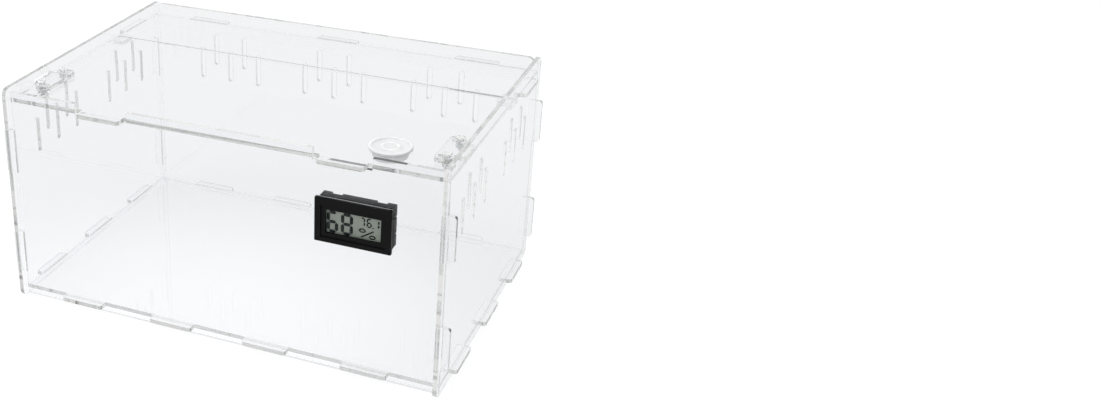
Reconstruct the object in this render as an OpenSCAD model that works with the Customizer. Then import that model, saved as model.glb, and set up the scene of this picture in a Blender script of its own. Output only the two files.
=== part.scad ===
// Flat pack reptile terrarium of clear acrylic sheet, with a lift-off lid and a meter in its front.
// Origin at the middle of the footprint on the table, X along the width, Y towards the back, Z up.

/* [Case] */
// Width over the outer faces of the two side panels
case_w = 294; // [240:1:360]
// Depth of the side panels
case_d = 200; // [160:1:260]
// Height of the side panels
case_h = 150; // [120:1:220]
// Thickness of the acrylic sheet
sheet_t = 2.8; // [2:0.1:4]
// Distance of the front and back panels from the side panels' edges
panel_inset = 5; // [4:0.5:10]
// Corner radius of the side panels and of the back panel
corner_r = 5; // [2:0.5:10]
// Height of the floor's underside above the table
floor_lift = 4; // [2:0.5:12]
// Height of the front and back panels' lower edge above the table
skirt_lift = 1; // [0:0.5:1.5]

/* [Tabs and slots] */
// How far a tab stands out of the face that it passes through
tab_out = 4.5; // [1:0.1:4.5]
// Length of every tab
tab_len = 30; // [20:1:34]
// Corner radius of a tab
tab_r = 2; // [0.5:0.1:2]
// Clearance round a tab in its slot
slot_gap = 0.1; // [0.05:0.05:0.3]
// Lower end of the walls' lower tab above the table
low_tab_z = 17; // [10:1:20]
// Upper end of the walls' upper tab below the case's top
high_tab_drop = 30; // [26:1:34]
// Clear length between a side panel and the floor's nearest front or back tab
floor_tab_end = 30; // [15:1:40]
// Clear length between the front panel and the floor's nearest side tab
floor_side_tab_end = 17; // [10:1:20]

/* [Lid and top strip] */
// Depth of the lid's top face below the case's top
lid_drop = 8; // [6:0.5:12]
// Depth of the front panel's top edge below the case's top
front_drop = 3.3; // [2:0.1:4]
// Depth of the fixed strip behind the lid
strip_d = 55; // [40:1:70]
// Clear length between a side panel and the strip's nearest tab in the back panel
strip_tab_end = 27; // [15:1:40]
// Distance of the strip's side tabs from the back panel
strip_tab_back = 30; // [18:1:32]
// How far the lid's and the strip's tabs lie to the right of the middle
upper_shift = 2; // [0:0.5:4]
// Running gap round the lid
lid_gap = 0.5; // [0.3:0.1:1]
// Clear length between a side panel and the lid's nearest front tab
lid_tab_end = 49; // [40:1:60]
// Gap on each side of a lid tab in its notch
notch_gap = 3.5; // [0.5:0.1:5]
// Reach of the ledges under the lid's rear corners
ledge_reach = 8; // [5:1:16]
// Length of the ledges
ledge_len = 14; // [10:1:24]

/* [Lid bolts] */
// Length of a bolt along the side panel
bolt_len = 34; // [32:1:40]
// Width of a bolt's body
bolt_w = 10.5; // [10:0.5:16]
// Width of the bolt's tongue
tongue_w = 19; // [12:1:24]
// Travel of a bolt into its slot
bolt_travel = 4; // [3.5:0.1:4.5]
// Gap between the drawn back tongue and the side panel
bolt_gap = 0.5; // [0.3:0.1:1]
// Distance of the bolts' middle from the front panel
bolt_from_front = 34; // [24:1:50]
// Distance between a bolt's two screws
screw_pitch = 25; // [22:1:26]
// Diameter of the screw's shank
screw_d = 3; // [2:0.5:3]
// Length of the screw's shank
screw_len = 10; // [9:1:14]
// Diameter of the screw's head
screw_head_d = 5.6; // [4.5:0.1:6.5]
// Height of the screw's head
screw_head_h = 2.2; // [1.5:0.1:3]
// Width across the nut's flats
nut_af = 5.5; // [5:0.1:7]
// Thickness of the nut
nut_t = 2.4; // [2:0.1:3]
// Running gap of the bolt on its screws and in its slot
bolt_run = 0.15; // [0.1:0.05:0.3]

/* [Air vents] */
// Width of one vent slot
vent_w = 3.6; // [2:0.1:5]
// Length of one vent slot
vent_len = 24; // [14:1:30]
// Distance from one vent slot to the next
vent_pitch = 11.4; // [8:0.1:12]
// Vent slots in a group
vent_count = 5; // [3:2:5]
// Height of every second slot over its neighbours
vent_stagger = 11.5; // [0:0.5:12]
// Middle of the lower vent slots below the case's top
vent_drop = 43; // [40:1:50]
// Distance between the vent groups of the back panel
back_group_pitch = 83; // [66:1:90]
// Distance between the vent groups of a side panel
side_group_pitch = 88; // [64:1:90]

/* [Feeding port] */
// Diameter of the port in the lid
port_d = 22; // [16:1:24]
// Distance of the port's middle from the right side panel
port_from_side = 43; // [34:1:60]
// Distance of the port's middle from the front panel
port_from_front = 25.5; // [18:0.5:60]
// Diameter of the plug's flange
plug_flange_d = 26.2; // [25:0.2:32]
// Height of the plug's rim over the lid
plug_rim_h = 1.7; // [1.5:0.1:4]
// Thickness of the plug's flange inside the rim
plug_web_h = 0.8; // [0.6:0.1:1]
// Width of the plug's rim
plug_rim_w = 1.6; // [1:0.1:2.5]
// Length of the plug's barrel under the flange
plug_barrel_len = 7; // [4:0.5:12]
// Gap between the plug's barrel and the port
plug_gap = 0.2; // [0.1:0.05:0.4]

/* [Meter] */
// Width of the meter's bezel
meter_w = 48; // [46:0.2:52]
// Height of the meter's bezel
meter_h = 28.6; // [27:0.2:32]
// Depth of the meter from its front face to its back
meter_depth = 14.2; // [14:0.1:18]
// Thickness of the bezel
bezel_t = 2; // [1.6:0.1:2.4]
// Width of the bezel's overlap round the case behind it
bezel_lap = 1.2; // [1:0.1:2]
// Thickness of the meter case's walls
meter_wall = 1.2; // [0.8:0.1:1.6]
// Gap between the meter's case and its cut-out
meter_gap = 0.4; // [0.3:0.05:0.6]
// Distance of the meter's middle from the right side panel
meter_from_side = 54; // [40:1:70]
// Meter's middle below the case's top
meter_drop = 47.2; // [44:0.2:60]
// Width of the window in the bezel
window_w = 34.4; // [30:0.2:36]
// Height of the window in the bezel
window_h = 15; // [12:0.2:16]
// Middle of the window below the middle of the bezel
window_drop = 0.8; // [0:0.1:1]
// Width of the sloped border round the window
window_border = 3; // [1:0.2:3]
// Depth of that border
window_recess = 0.8; // [0.4:0.1:1.2]
// Diameter of a button cell
cell_d = 11.6; // [11.6:0.1:12.5]
// Thickness of a button cell
cell_t = 5.4; // [4.8:0.1:5.4]

/* [Hidden] */
$fn = 48;

// Colours of the sheet, the white plastics and the meter.
acrylic = [0.86, 0.91, 0.91, 0.45];
white_plastic = [0.95, 0.95, 0.93];
black_plastic = [0.09, 0.09, 0.1];

// Faces of the case that everything else is placed from.
side_in = case_w / 2 - sheet_t;
front_face = -case_d / 2 + panel_inset;
front_in = front_face + sheet_t;
back_face = case_d / 2 - panel_inset;
back_in = back_face - sheet_t;
inner_w = 2 * side_in;
inner_d = back_in - front_in;
lid_top = case_h - lid_drop;
lid_under = lid_top - sheet_t;
front_top = case_h - front_drop;
high_tab_z = case_h - high_tab_drop - tab_len;
tab_reach = sheet_t + tab_out;

// Rows of tabs, as the places of their middles.
floor_tabs_x = spread(4, inner_w - 2 * floor_tab_end - tab_len);
floor_tabs_y = [for (y = spread(3, inner_d - 2 * floor_side_tab_end - tab_len)) y + (front_in + back_in) / 2];
strip_tabs_x = [for (x = spread(3, inner_w - 2 * strip_tab_end - tab_len)) x + upper_shift];
lid_tabs_x = [for (x = spread(2, inner_w - 2 * lid_tab_end - tab_len)) x + upper_shift];
wall_tabs_z = [low_tab_z + tab_len / 2, high_tab_z + tab_len / 2];
strip_tab_y = back_in - strip_tab_back;

// Lid and its rear joint.
strip_front = back_in - strip_d;
lid_back = strip_front - lid_gap;
ledge_y = (strip_front + lid_back) / 2;
port_x = side_in - port_from_side;
port_y = front_in + port_from_front;

// Bolts, drawn back at rest.
bolt_y = front_in + bolt_from_front;
tongue_tip = side_in - bolt_gap;
tongue_len = bolt_travel - bolt_gap + bolt_run;
bolt_outer = tongue_tip - tongue_len;
bolt_inner = bolt_outer - bolt_w;
guide_w = screw_d + 2 * bolt_run;
guide_len = guide_w + bolt_travel;
guide_x = (bolt_inner + bolt_outer) / 2;
screw_x = guide_x + bolt_travel / 2;
head_z = lid_top + sheet_t + bolt_run;
bolt_corner_r = 3;

// Meter, from its front face towards the back.
meter_x = side_in - meter_from_side;
meter_z = case_h - meter_drop;
bezel_front = front_face - bezel_t;
meter_rear = bezel_front + meter_depth;
shell_w = meter_w - 2 * bezel_lap;
shell_h = meter_h - 2 * bezel_lap;
hollow_w = shell_w - 2 * meter_wall;
hollow_h = shell_h - 2 * meter_wall;
door_t = 1;
plate_t = 1;
window_t = 0.7;
lcd_t = 1.7;
connector_t = 1.4;
board_t = 1;
contact_t = 0.3;
window_y = front_face;
lcd_y = window_y + window_t;
connector_y = lcd_y + lcd_t;
board_y = connector_y + connector_t;
door_y = meter_rear - door_t;
plate_y = door_y - plate_t;
cell_y = door_y - 0.1 - contact_t - cell_t;
cell_z = -1;
cell_pitch = cell_d + 1.2;
tray_gap = 0.3;
tray_w = 2 * cell_d + 4;
tray_h = cell_d + 2.8;
door_w = tray_w - 1;
door_h = tray_h - 1;
lip_w = 0.8;
lip_t = 0.4;
lcd_ledge = 1.6;
sensor_z = hollow_h / 2 - 2.6;
fit_in_shell = 0.2;
bezel_edge = 0.5;

// Places of a row of n items whose first and last middles are span apart.
function spread(n, span) = [for (i = [0 : n - 1]) (i / (n - 1) - 0.5) * span];

// Heights of the vent slots in a group, low at both ends.
function vent_z(i) = case_h - vent_drop + (i % 2) * vent_stagger;

// Flat rectangle with round corners, about the origin.
module soft_rect(x, y, r) {
    square([x - 2 * r, y], center = true);
    square([x, y - 2 * r], center = true);
    for (sx = [-1, 1], sy = [-1, 1])
        translate([sx * (x / 2 - r), sy * (y / 2 - r)]) circle(r);
}

// Flat tab that points along +Y from the wall's inner face, with a root inside its own sheet.
module tab_2d(root = 1) {
    translate([-tab_len / 2, -root]) square([tab_len, root + tab_reach - tab_r]);
    translate([-tab_len / 2 + tab_r, 0]) square([tab_len - 2 * tab_r, tab_reach]);
    for (s = [-1, 1])
        translate([s * (tab_len / 2 - tab_r), tab_reach - tab_r]) circle(tab_r);
}

// Flat slot for a tab, long along X.
module slot_2d() {
    square([tab_len + 2 * slot_gap, sheet_t + 2 * slot_gap], center = true);
}

// Flat slot with round ends, long along Y.
module stadium_2d(w, len) {
    square([w, len - w], center = true);
    for (s = [-1, 1]) translate([0, s * (len - w) / 2]) circle(w / 2);
}

// Sheet that stands across the case, with its front at y and its outline in X and Z.
module across(y, t = sheet_t) {
    translate([0, y + t, 0]) rotate([90, 0, 0]) linear_extrude(t) children();
}

// Sheet that stands along the case, with its left face at x and its outline in Y and Z.
module along(x, t = sheet_t) {
    translate([x, 0, 0]) rotate([90, 0, 90]) linear_extrude(t) children();
}

// Lying sheet with its underside at z.
module lying(z, t = sheet_t) {
    translate([0, 0, z]) linear_extrude(t) children();
}

// One group of staggered vent slots, about x.
module vent_group(x) {
    for (i = [0 : vent_count - 1])
        translate([x + (i - (vent_count - 1) / 2) * vent_pitch, vent_z(i)]) stadium_2d(vent_w, vent_len);
}

// Outline of a side panel in Y and Z, the same for both sides.
module side_outline() {
    difference() {
        translate([0, case_h / 2]) soft_rect(case_d, case_h, corner_r);
        for (y = [front_face, back_in], z = wall_tabs_z)
            translate([y + sheet_t / 2, z]) rotate(90) slot_2d();
        for (y = floor_tabs_y) translate([y, floor_lift + sheet_t / 2]) slot_2d();
        translate([strip_tab_y, lid_under + sheet_t / 2]) slot_2d();
        translate([bolt_y, lid_top + sheet_t / 2])
            square([tongue_w + 4 * bolt_run, sheet_t + 4 * bolt_run], center = true);
        for (s = [-1, 1]) vent_group(s * side_group_pitch / 2);
    }
}

module left_side_panel() {
    color(acrylic) along(-case_w / 2) side_outline();
}

module right_side_panel() {
    color(acrylic) along(side_in) side_outline();
}

// Tabs of the front and back panels, in both ends.
module wall_tabs() {
    for (z = wall_tabs_z) {
        translate([side_in, z]) rotate(-90) tab_2d();
        translate([-side_in, z]) rotate(90) tab_2d();
    }
}

module floor_slots() {
    for (x = floor_tabs_x) translate([x, floor_lift + sheet_t / 2]) slot_2d();
}

// Front panel, notched for the lid's tabs and cut out for the meter.
module front_panel() {
    color(acrylic) across(front_face) difference() {
        union() {
            translate([-side_in, skirt_lift]) square([inner_w, front_top - skirt_lift]);
            wall_tabs();
        }
        floor_slots();
        for (x = lid_tabs_x)
            translate([x - tab_len / 2 - notch_gap, lid_under])
                square([tab_len + 2 * notch_gap, case_h - lid_under]);
        translate([meter_x, meter_z])
            square([shell_w + 2 * meter_gap, shell_h + 2 * meter_gap], center = true);
    }
}

// Back panel, as high as the side panels, with its top corners round.
module back_panel() {
    color(acrylic) across(back_in) difference() {
        union() {
            translate([-side_in, skirt_lift]) square([inner_w, case_h - skirt_lift - corner_r]);
            translate([0, case_h - 2 * corner_r]) soft_rect(inner_w, 4 * corner_r, corner_r);
            wall_tabs();
        }
        floor_slots();
        for (x = strip_tabs_x) translate([x, lid_under + sheet_t / 2]) slot_2d();
        for (i = [-1, 0, 1]) vent_group(i * back_group_pitch);
    }
}

// Floor, held in the four walls by its tabs.
module floor_panel() {
    color(acrylic) lying(floor_lift) {
        translate([-side_in, front_in]) square([inner_w, inner_d]);
        for (x = floor_tabs_x) {
            translate([x, back_in]) tab_2d();
            translate([x, front_in]) rotate(180) tab_2d();
        }
        for (y = floor_tabs_y) {
            translate([side_in, y]) rotate(-90) tab_2d();
            translate([-side_in, y]) rotate(90) tab_2d();
        }
    }
}

// Fixed strip behind the lid.
module rear_top_strip() {
    color(acrylic) lying(lid_under) {
        translate([-side_in, strip_front]) square([inner_w, strip_d]);
        for (x = strip_tabs_x) translate([x, back_in]) tab_2d();
        translate([side_in, strip_tab_y]) rotate(-90) tab_2d();
        translate([-side_in, strip_tab_y]) rotate(90) tab_2d();
    }
}

// Ledge on the right side panel, under the joint of the lid and the strip.
module ledge() {
    ledge_r = 2;
    translate([side_in, ledge_y, 0]) lying(lid_under - sheet_t) {
        translate([-ledge_reach / 2 - ledge_r / 2, 0]) soft_rect(ledge_reach - ledge_r, ledge_len, ledge_r);
        translate([-ledge_r - 1, -ledge_len / 2]) square([ledge_r + 1, ledge_len]);
    }
}

module right_lid_ledge() {
    color(acrylic) ledge();
}

module left_lid_ledge() {
    color(acrylic) mirror([1, 0, 0]) ledge();
}

// Lid, with its front tabs, the feeding port and the holes of the bolts' screws.
module lid() {
    color(acrylic) lying(lid_under) difference() {
        union() {
            translate([-side_in + lid_gap, front_in + lid_gap])
                square([inner_w - 2 * lid_gap, lid_back - front_in - lid_gap]);
            for (x = lid_tabs_x) translate([x, front_in]) rotate(180) tab_2d(lid_gap + 1);
        }
        translate([port_x, port_y]) circle(port_d / 2);
        for (s = [-1, 1]) screw_places(s) circle(screw_d / 2 + bolt_run);
    }
}

// Places of the two screws of one side's bolt.
module screw_places(side) {
    for (s = [-1, 1]) translate([side * screw_x, bolt_y + s * screw_pitch / 2]) children();
}

// Plug of the feeding port: a rimmed flange with a ring on it, and a ribbed barrel.
module port_plug() {
    flange_r = plug_flange_d / 2;
    barrel_r = port_d / 2 - plug_gap - 0.3;
    rib_r = port_d / 2 - plug_gap;
    ring_r = 5.6;
    ring_w = 1.2;
    rim_soft = 0.5;
    color(white_plastic) translate([port_x, port_y, lid_top]) rotate_extrude() {
        square([flange_r - rim_soft, plug_web_h]);
        translate([flange_r - plug_rim_w, 0]) square([plug_rim_w - rim_soft, plug_rim_h]);
        translate([flange_r - plug_rim_w, 0]) square([plug_rim_w, plug_rim_h - rim_soft]);
        translate([flange_r - rim_soft, plug_rim_h - rim_soft]) circle(rim_soft);
        translate([ring_r - ring_w, 0]) square([ring_w, plug_rim_h - 0.4]);
        translate([0, -plug_barrel_len]) square([barrel_r, plug_barrel_len + 0.5]);
        for (z = [-1.4, -3.4, -5.4]) translate([0, z]) square([rib_r, 0.8]);
    }
}

// Bolt of the right side: a soft cornered plate with two guide slots and a tongue.
module bolt_plate() {
    lying(lid_top) difference() {
        union() {
            translate([(bolt_inner + bolt_outer) / 2, bolt_y]) soft_rect(bolt_w, bolt_len, bolt_corner_r);
            translate([bolt_outer - 1, bolt_y - tongue_w / 2]) square([tongue_len + 1, tongue_w]);
        }
        for (s = [-1, 1])
            translate([guide_x, bolt_y + s * screw_pitch / 2]) rotate(90) stadium_2d(guide_w, guide_len);
    }
}

module right_lid_bolt() {
    color(acrylic) bolt_plate();
}

module left_lid_bolt() {
    color(acrylic) mirror([1, 0, 0]) bolt_plate();
}

// Two nylon screws with round, slotted heads.
module bolt_screws(side) {
    head_r = screw_head_d / 2;
    head_soft = 0.6;
    driver_slot_w = 0.9;
    driver_slot_h = 1;
    color(white_plastic) screw_places(side) difference() {
        translate([0, 0, head_z]) rotate_extrude() {
            square([head_r, screw_head_h - head_soft]);
            square([head_r - head_soft, screw_head_h]);
            translate([head_r - head_soft, screw_head_h - head_soft]) circle(head_soft);
            translate([0, -screw_len]) square([screw_d / 2, screw_len + 0.5]);
        }
        translate([0, 0, head_z + screw_head_h])
            cube([screw_head_d + 1, driver_slot_w, 2 * driver_slot_h], center = true);
    }
}

// Two nylon nuts under the lid.
module bolt_nuts(side) {
    nut_bore_gap = 0.05;
    color(white_plastic) screw_places(side) translate([0, 0, lid_under - nut_t]) difference() {
        cylinder(h = nut_t, r = nut_af / sqrt(3), $fn = 6);
        translate([0, 0, -1]) cylinder(h = nut_t + 2, r = screw_d / 2 + nut_bore_gap);
    }
}

module left_bolt_screws() { bolt_screws(-1); }
module right_bolt_screws() { bolt_screws(1); }
module left_bolt_nuts() { bolt_nuts(-1); }
module right_bolt_nuts() { bolt_nuts(1); }

// Block of the meter, from y0 to y1, about the meter's axis.
module meter_block(w, h, y0, y1, dx = 0, dz = 0) {
    translate([meter_x + dx - w / 2, y0, meter_z + dz - h / 2]) cube([w, y1 - y0, h]);
}

// Case of the meter with its bezel, open at the back.
module meter_shell() {
    notch_w = 6.5;
    notch_d = 2.4;
    clip_h = 10;
    clip_cut = 1;
    clip_len = 8;
    ridge = 0.2;
    color(black_plastic) difference() {
        union() {
            translate([meter_x, 0, meter_z])
                across(bezel_front, bezel_t) soft_rect(meter_w, meter_h, bezel_edge);
            meter_block(shell_w, shell_h, bezel_front + 1, door_y);
            for (s = [-1, 1])
                meter_block(meter_wall, clip_h - 2, front_in + 0.6, front_in + 2.4,
                    s * (shell_w / 2 - meter_wall / 2 + ridge));
        }
        meter_block(hollow_w, hollow_h, front_face, meter_rear + 1);
        meter_block(window_w, window_h, bezel_front - 1, front_face + 1, 0, -window_drop);
        meter_block(window_w + 2 * window_border, window_h + 2 * window_border,
            bezel_front - 1, bezel_front + window_recess, 0, -window_drop);
        for (s = [-1, 1], e = [-1, 1])
            meter_block(meter_wall + 1, clip_cut, door_y - clip_len, door_y + 1,
                s * shell_w / 2, e * (clip_h + clip_cut) / 2);
        for (x = [-14, 14])
            meter_block(notch_w, 2, door_y - notch_d, door_y + 1, x, shell_h / 2);
    }
}

// Clear window behind the bezel.
module meter_window() {
    color([0.8, 0.85, 0.85, 0.4]) meter_block(window_w + 4, window_h + 4, window_y, lcd_y, 0, -window_drop);
}

// Glass of the display: a front plate, and a back plate that leaves a ledge below.
module meter_lcd() {
    plate_h = window_h + 4;
    color([0.55, 0.6, 0.54]) {
        meter_block(window_w + 4, plate_h, lcd_y, lcd_y + lcd_t / 2, 0, -window_drop);
        meter_block(window_w + 4, plate_h - lcd_ledge, lcd_y, connector_y, 0, lcd_ledge / 2 - window_drop);
    }
}

// Rubber strip that joins the display's ledge to the board.
module lcd_connector() {
    strip_h = lcd_ledge - 0.2;
    strip_z = (strip_h - window_h - 4) / 2 - window_drop;
    color([0.75, 0.45, 0.5]) meter_block(window_w, strip_h, lcd_y + lcd_t / 2, board_y, 0, strip_z);
}

// Circuit board.
module meter_board() {
    color([0.12, 0.35, 0.2])
        meter_block(hollow_w - 2 * fit_in_shell, hollow_h - 2 * fit_in_shell, board_y, board_y + board_t);
}

// Controller under its drop of resin, between the display and the board.
module controller_chip() {
    chip_r = 4;
    chip_h = 1;
    dome_r = (chip_r * chip_r + chip_h * chip_h) / (2 * chip_h);
    color([0.05, 0.05, 0.05]) translate([meter_x - 9, board_y, meter_z + 2])
        rotate([90, 0, 0]) rotate_extrude() intersection() {
            translate([0, chip_h - dome_r]) circle(dome_r, $fn = 96);
            square([chip_r, chip_h]);
        }
}

// Humidity sensor with its slotted cap, and a temperature bead on its lead.
module humidity_sensor() {
    sensor_x = 13;
    bead_x = 18;
    bead_r = 0.9;
    cap_t = 1.6;
    rear = board_y + board_t;
    color([0.9, 0.9, 0.88]) {
        difference() {
            meter_block(6, 4, rear, rear + cap_t, sensor_x, sensor_z);
            for (i = [-1, 0, 1]) meter_block(4.4, 0.6, rear + 1, rear + 2, sensor_x, sensor_z + i * 1.2);
        }
        translate([meter_x + bead_x, rear, meter_z + sensor_z]) rotate([-90, 0, 0]) {
            cylinder(h = bead_r + 0.3, r = 0.3);
            translate([0, 0, bead_r + 0.3]) sphere(bead_r, $fn = 24);
        }
    }
}

// Places of the two button cells, with the axis from y towards the front.
module cell_places(y) {
    for (s = [-1, 1])
        translate([meter_x + s * cell_pitch / 2, y, meter_z + cell_z]) rotate([90, 0, 0]) children();
}

// Two button cells side by side.
module button_cells() {
    step_h = 0.6;
    step_w = 1.2;
    color([0.78, 0.78, 0.8]) cell_places(cell_y + cell_t) {
        cylinder(h = cell_t - step_h, r = cell_d / 2);
        cylinder(h = cell_t, r = cell_d / 2 - step_w);
    }
}

// Sheet metal contacts: a bridge over the cells' outer faces and a tongue under each cell.
module battery_contacts() {
    color([0.8, 0.78, 0.7]) {
        meter_block(cell_pitch + 5, 4, cell_y + cell_t, cell_y + cell_t + contact_t, 0, cell_z);
        for (s = [-1, 1]) meter_block(3, 5, board_y + board_t, cell_y, s * cell_pitch / 2, cell_z);
    }
}

// Back plate of the meter, with the tray that holds the cells and the lipped rails of the door.
module meter_back() {
    rail_w = 1.2;
    color(black_plastic) difference() {
        union() {
            meter_block(hollow_w - 2 * fit_in_shell, hollow_h - 2 * fit_in_shell, plate_y, door_y);
            meter_block(tray_w, tray_h, board_y + board_t + 0.2, plate_y + 0.1, 0, cell_z);
            for (s = [-1, 1]) {
                meter_block(door_w, rail_w, door_y - 0.1, meter_rear, 0,
                    cell_z + s * (door_h / 2 + bolt_run + rail_w / 2));
                meter_block(door_w, rail_w + lip_w, meter_rear - lip_t, meter_rear, 0,
                    cell_z + s * (door_h / 2 + bolt_run + (rail_w - lip_w) / 2));
            }
        }
        cell_places(door_y + 1) cylinder(h = door_y + 1 - board_y - board_t, r = cell_d / 2 + tray_gap);
        meter_block(cell_pitch + 6, 5, plate_y - 1, door_y + 1, 0, cell_z);
    }
}

// Battery door with a ribbed grip, which slides off sideways between the rails.
module battery_door() {
    rib_pitch = 1.6;
    rib_gap = 0.7;
    flange_t = door_t - lip_t - bolt_run;
    color(black_plastic) difference() {
        union() {
            meter_block(door_w, door_h, door_y, door_y + flange_t, 0, cell_z);
            meter_block(door_w, door_h - 2 * (lip_w + bolt_run), door_y, meter_rear, 0, cell_z);
        }
        for (i = [0 : 4])
            meter_block(rib_gap, door_h - 6, meter_rear - 0.4, meter_rear + 1,
                i * rib_pitch - door_w / 2 + 4, cell_z);
    }
}

left_side_panel();
right_side_panel();
front_panel();
back_panel();
floor_panel();
rear_top_strip();
left_lid_ledge();
right_lid_ledge();
lid();
port_plug();
left_lid_bolt();
right_lid_bolt();
left_bolt_screws();
right_bolt_screws();
left_bolt_nuts();
right_bolt_nuts();
meter_shell();
meter_window();
meter_lcd();
lcd_connector();
meter_board();
controller_chip();
humidity_sensor();
button_cells();
battery_contacts();
meter_back();
battery_door();
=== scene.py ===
import math

import bmesh
import bpy
from mathutils import Matrix, Vector


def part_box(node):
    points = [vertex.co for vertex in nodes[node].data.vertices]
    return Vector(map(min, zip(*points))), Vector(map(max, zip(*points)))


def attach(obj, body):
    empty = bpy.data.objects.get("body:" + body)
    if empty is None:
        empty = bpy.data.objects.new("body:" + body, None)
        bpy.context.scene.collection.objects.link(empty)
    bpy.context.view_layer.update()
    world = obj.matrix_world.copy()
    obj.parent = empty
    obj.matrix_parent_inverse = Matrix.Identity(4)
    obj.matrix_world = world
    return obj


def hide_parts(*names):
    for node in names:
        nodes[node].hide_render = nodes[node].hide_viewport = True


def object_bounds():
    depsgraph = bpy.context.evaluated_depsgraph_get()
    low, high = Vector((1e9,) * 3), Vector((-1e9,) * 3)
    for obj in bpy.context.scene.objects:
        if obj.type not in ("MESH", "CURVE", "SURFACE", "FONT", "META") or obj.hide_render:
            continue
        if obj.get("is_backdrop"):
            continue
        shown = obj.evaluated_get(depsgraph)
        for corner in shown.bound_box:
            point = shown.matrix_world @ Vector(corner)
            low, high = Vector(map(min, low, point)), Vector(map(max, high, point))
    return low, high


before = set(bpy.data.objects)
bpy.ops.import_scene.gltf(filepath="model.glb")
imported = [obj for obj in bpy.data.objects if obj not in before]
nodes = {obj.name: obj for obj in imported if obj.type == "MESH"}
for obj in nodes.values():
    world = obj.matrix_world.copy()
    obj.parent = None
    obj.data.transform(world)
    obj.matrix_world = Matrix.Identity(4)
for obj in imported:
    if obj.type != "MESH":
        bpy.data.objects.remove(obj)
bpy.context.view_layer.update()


# Walls and floor of the case, laser cut from 2.8 mm clear cast acrylic with tabs and slots that
# hold them together. The faces are polished, the cut edges pale grey green with fine strokes
# across the sheet, greyer on left side and floor, the floor's greyer edges being painted shade
# from the table below. In the vents and openings of right side, front and back the cut edges are
# painted paler, as painted light.
mm = 0.001


class Flow:
    """A value on its way through a finish's nodes. Sums of flows add Math nodes, node() any."""

    def __init__(self, tree, socket=None):
        self.tree, self.socket = tree, socket

    def node(self, kind, settings, inputs, output=0):
        made = self.tree.nodes.new("ShaderNode" + kind)
        for name, value in settings.items():
            if name == "stops":
                for element, (spot, shade) in zip(made.color_ramp.elements, value):
                    element.position, element.color = spot, shade
            else:
                setattr(made, name, value)
        for name, value in inputs.items():
            if isinstance(value, Flow):
                self.tree.links.new(value.socket, made.inputs[name])
            else:
                made.inputs[name].default_value = value
        return Flow(self.tree, made.outputs[output] if made.outputs else None)

    def maths(self, operation, *values):
        return self.node("Math", {"operation": operation}, dict(enumerate(values)))

    def __add__(self, other):
        return self.maths("ADD", self, other)

    def __radd__(self, other):
        return self.maths("ADD", other, self)

    def __sub__(self, other):
        return self.maths("SUBTRACT", self, other)

    def __rsub__(self, other):
        return self.maths("SUBTRACT", other, self)

    def __mul__(self, other):
        return self.maths("MULTIPLY", self, other)

    def __rmul__(self, other):
        return self.maths("MULTIPLY", other, self)

    def __abs__(self):
        return self.maths("ABSOLUTE", self)

    def __lt__(self, other):
        return self.maths("LESS_THAN", self, other)

    def __gt__(self, other):
        return self.maths("GREATER_THAN", self, other)

    def mix(self, share, first, second):
        """The colour between two, which the Mix node takes at sockets 6 and 7 and gives at 2."""
        return self.node("Mix", {"data_type": "RGBA"}, {0: share, 6: first, 7: second}, 2)

    def noise(self, place, scale, detail=2.0, roughness=0.5):
        return self.node("TexNoise", {}, {
            "Vector": place, "Scale": scale, "Detail": detail, "Roughness": roughness})

    def bands(self, place, way, scale, distortion=0.0, detail=2.0):
        return self.node("TexWave", {"bands_direction": way}, {
            "Vector": place, "Scale": scale, "Distortion": distortion, "Detail": detail}, "Fac")

    def stretched(self, place, scale):
        return self.node("Mapping", {}, {"Vector": place, "Scale": scale})

    def apart(self, place):
        """The three numbers of a place or a colour."""
        split = self.node("SeparateXYZ", {}, {0: place}).socket.node
        return [Flow(self.tree, part) for part in split.outputs]

    def measure(self, operation, first, second):
        """A number from two vectors, such as their distance."""
        return self.node("VectorMath", {"operation": operation}, {0: first, 1: second}, "Value")

    def facing(self, direction):
        """1 where the surface faces along the direction or against it, 0 where it lies along."""
        outward = self.node("NewGeometry", {}, {}, "Normal")
        return abs(self.measure("DOT_PRODUCT", outward, direction))

    def rise(self, value, start, end, curve="LINEAR"):
        """0 where the value is at the start of a stretch, 1 where it is at the end."""
        return self.node("MapRange", {"interpolation_type": curve}, {
            "Value": value, "From Min": start, "From Max": end})

    def relief(self, strength, depth, height):
        return self.node("Bump", {}, {"Strength": strength, "Distance": depth, "Height": height})

    def ray(self, kind):
        return self.node("LightPath", {}, {}, kind)

    def skin(self, tint, polish, others):
        return self.node("BsdfPrincipled", {}, {"Base Color": tint, "Roughness": polish, **others})


def new_finish(name):
    """A finish with no nodes yet, the flow that adds them, and the place on the object."""
    finish = bpy.data.materials.new(name)
    finish.use_nodes = True
    finish.node_tree.nodes.clear()
    flow = Flow(finish.node_tree)
    return finish, flow, flow.node("TexCoord", {}, {}, "Object")


def put_out(flow, shader):
    flow.node("OutputMaterial", {}, {"Surface": shader})


def put_out_lit(flow, shader, light):
    """Lamps shine through the shader, tinted, to what is behind it."""
    lit = flow.node("BsdfTransparent", {}, {"Color": light})
    put_out(flow, flow.node("MixShader", {}, {0: flow.ray("Is Shadow Ray"), 1: shader, 2: lit}))


def new_piece(name, shape, finish, body, slot, *stood_for):
    """Makes the bmesh a smooth shaded piece that rides on its body and stands for CAD nodes."""
    for face in shape.faces:
        face.smooth = True
    mesh = bpy.data.meshes.new(name)
    shape.to_mesh(mesh)
    shape.free()
    mesh.materials.append(finish)
    piece = bpy.data.objects.new(name, mesh)
    bpy.context.collection.objects.link(piece)
    even = piece.modifiers.new("even_faces", "WEIGHTED_NORMAL")
    even.keep_sharp = False
    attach(piece, body)
    if stood_for:
        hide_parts(*stood_for)


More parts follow.
